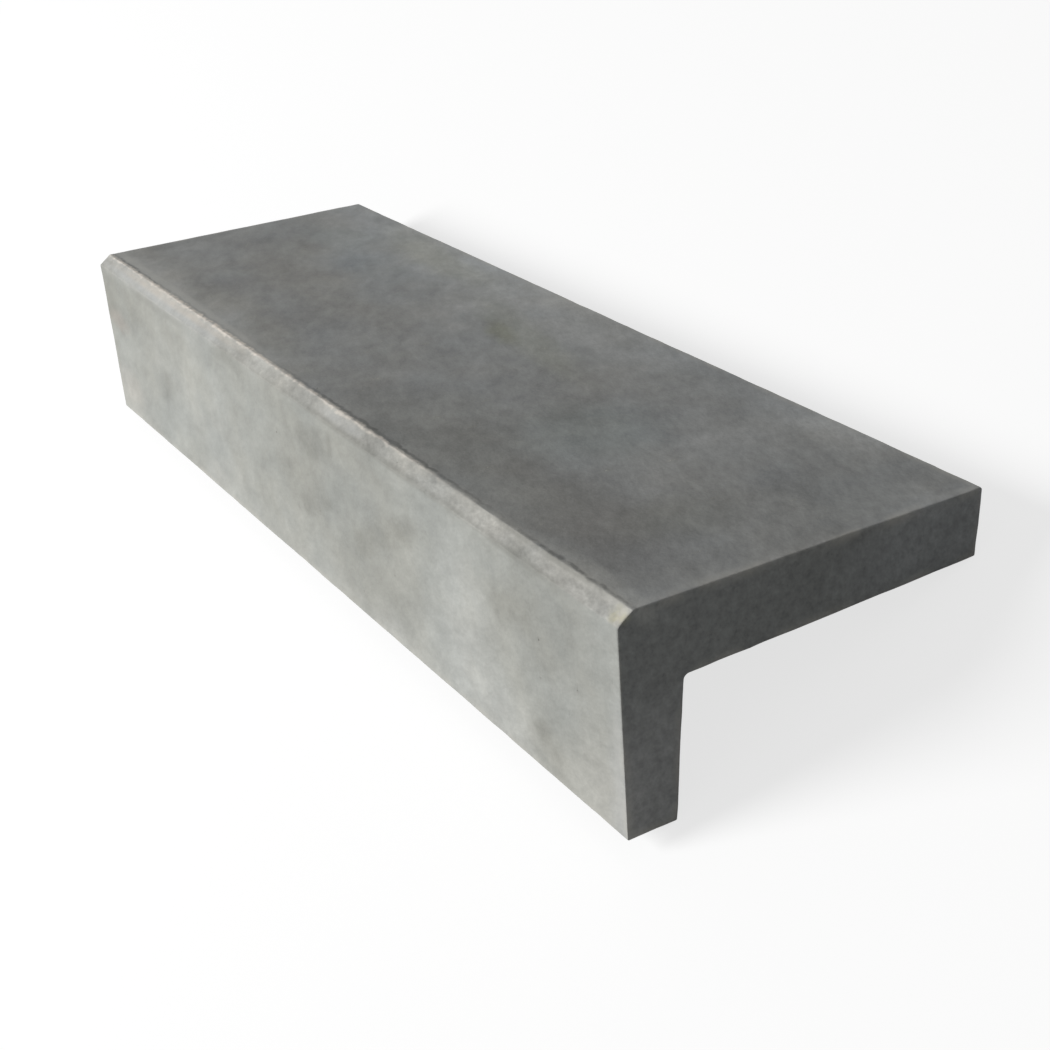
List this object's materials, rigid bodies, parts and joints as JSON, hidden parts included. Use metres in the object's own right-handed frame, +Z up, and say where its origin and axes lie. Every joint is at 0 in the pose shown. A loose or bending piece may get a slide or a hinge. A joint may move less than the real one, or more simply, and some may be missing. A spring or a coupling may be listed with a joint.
{
  "type": "l-shaped concrete step",
  "caption": "Precast concrete stair step of L section: a flat tread with a shallow riser cast on along its front and a small chamfer on the nosing.",
  "frame": {"origin": "on the floor, under the middle of the step's box, with the step at rest on the heel of its riser and the lower back edge of its tread", "axes": "+X along the step's length, +Y from the riser at the front to the tread's back edge, +Z up; in use the step is turned 24.24 degrees about X so that the tread is level"},
  "size_m": [1, 0.3554, 0.1724],
  "materials": {
    "concrete": "matte"
  },
  "bodies": {
    "root": {"step": "concrete"}
  },
  "joints": []
}
